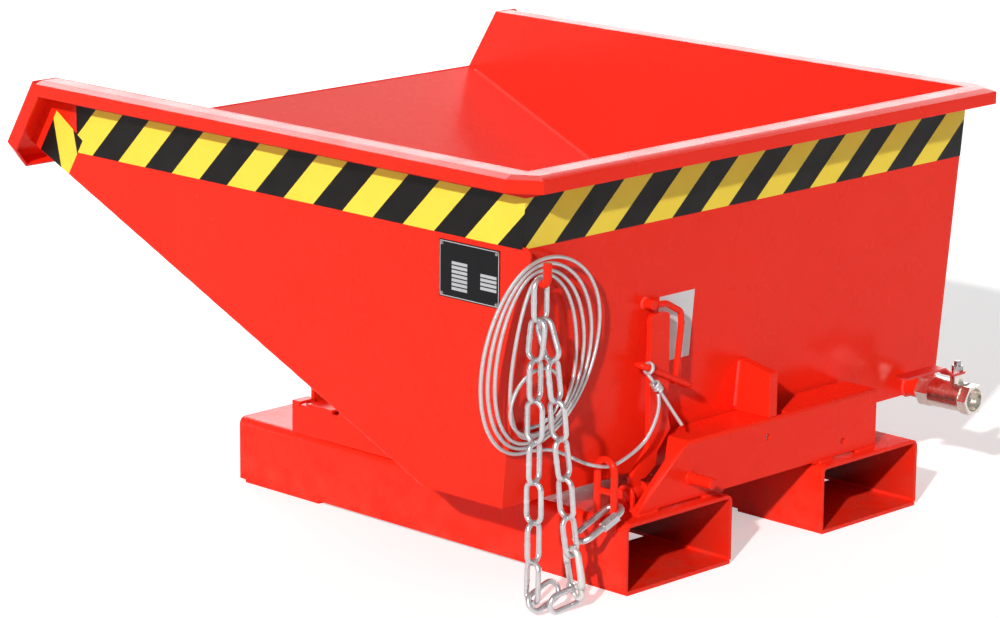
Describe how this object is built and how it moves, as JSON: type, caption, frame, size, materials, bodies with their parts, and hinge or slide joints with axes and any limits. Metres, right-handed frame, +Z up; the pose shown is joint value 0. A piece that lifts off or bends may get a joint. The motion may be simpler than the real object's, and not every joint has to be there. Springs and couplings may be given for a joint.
{
  "type": "self dumping hopper",
  "caption": "Sheet steel bucket that rolls forward on toothed rockers over a base with fork pockets, with a lock lever, release rope, safety chain and drain valve.",
  "frame": {"origin": "on the floor under the middle of the whole hopper, without its rope", "axes": "+Z up, +Y towards the mouth that it dumps over, +X to the right seen from behind"},
  "size_m": [0.9216, 0.9894, 0.525],
  "materials": {
    "red_paint": "glossy enamel",
    "zinc_steel": "zinc plated",
    "hazard_tape": "striped tape",
    "wire_rope": "galvanised rope",
    "paper_label": "blank sticker",
    "dark_plate": "dark anodised blank plate",
    "valve_brass": "nickel plated brass",
    "seat_plastic": "seat ring",
    "ball_chrome": "polished ball",
    "lever_sleeve": "dipped sleeve"
  },
  "bodies": {
    "base": {"fork_pocket_left": "red_paint", "fork_pocket_right": "red_paint", "floor_straps": "red_paint", "rail_left": "red_paint", "rail_right": "red_paint", "front_crossmember": "red_paint", "rear_crossbeam": "red_paint", "stub_pin": "red_paint", "guide_loop": "red_paint", "quick_link": "zinc_steel", "lever_bracket": "red_paint", "lever_pivot_bolt": "zinc_steel", "cable_run": "wire_rope"},
    "link_sleeve": {"quick_link_sleeve": "zinc_steel"},
    "lever": {"lock_lever": "red_paint", "latch_handle": "red_paint", "cable_knot": "wire_rope", "cable_tail": "wire_rope"},
    "roll_shaft": {"rocker_shaft": "zinc_steel", "shaft_collar_left": "zinc_steel", "shaft_collar_right": "zinc_steel"},
    "bucket": {"side_wall_left": "red_paint", "side_wall_right": "red_paint", "rear_wall": "red_paint", "chute_floor": "red_paint", "bucket_rim": "red_paint", "mouth_frame": "red_paint", "rocker_left": "red_paint", "rocker_right": "red_paint", "stop_lug": "red_paint", "keeper_pin": "red_paint", "cable_hook": "red_paint", "tape_left": "hazard_tape", "tape_right": "hazard_tape", "tape_rear": "hazard_tape", "tape_front_left": "hazard_tape", "tape_front_right": "hazard_tape", "paper_label": "paper_label", "data_plate": "dark_plate", "plate_rivets": "zinc_steel", "drain_pipe": "red_paint", "valve_body": "valve_brass", "valve_end": "valve_brass", "valve_seat_front": "seat_plastic", "valve_seat_rear": "seat_plastic", "safety_chain": "zinc_steel", "snap_hook": "zinc_steel", "snap_gate_pin": "zinc_steel", "cable_coil": "wire_rope", "cable_ferrule": "zinc_steel"},
    "valve_handle": {"valve_ball": "ball_chrome", "valve_stem": "zinc_steel", "valve_lever": "lever_sleeve", "valve_nut": "zinc_steel"},
    "gate": {"snap_gate": "zinc_steel"}
  },
  "joints": [
    {"name": "sleeve_screw", "type": "slide", "parent": "base", "child": "link_sleeve", "axis": [-0.8651, 0.1697, -0.4721], "range_m": [0, 0.01]},
    {"name": "lever_swing", "type": "hinge", "parent": "base", "child": "lever", "pos_m": [-0.2135, -0.41772, 0.105], "axis": [1, 0, 0], "range_deg": [0, 15], "deforming": ["cable_run"]},
    {"name": "rocker_travel", "type": "slide", "parent": "base", "child": "roll_shaft", "axis": [0, 1, 0], "range_m": [0, 0.098]},
    {"name": "bucket_roll", "type": "hinge", "parent": "roll_shaft", "child": "bucket", "pos_m": [0, -0.00472, 0.21], "axis": [-1, 0, 0], "range_deg": [0, 70]},
    {"name": "valve_turn", "type": "hinge", "parent": "bucket", "child": "valve_handle", "pos_m": [0.353, -0.46572, 0.17], "axis": [0, 0, 1], "range_deg": [0, 90]},
    {"name": "snap_gate_spring", "type": "hinge", "parent": "bucket", "child": "gate", "pos_m": [-0.35675, -0.45088, 0.03019], "axis": [0.9966, -0.0321, 0.0757], "range_deg": [0, 25], "stiffness_Nm_per_rad": 0.05, "springref_deg": -11.46}
  ],
  "couplings": [
    {"joint": "rocker_travel", "follows": "bucket_roll", "m_per_rad": 0.08}
  ]
}
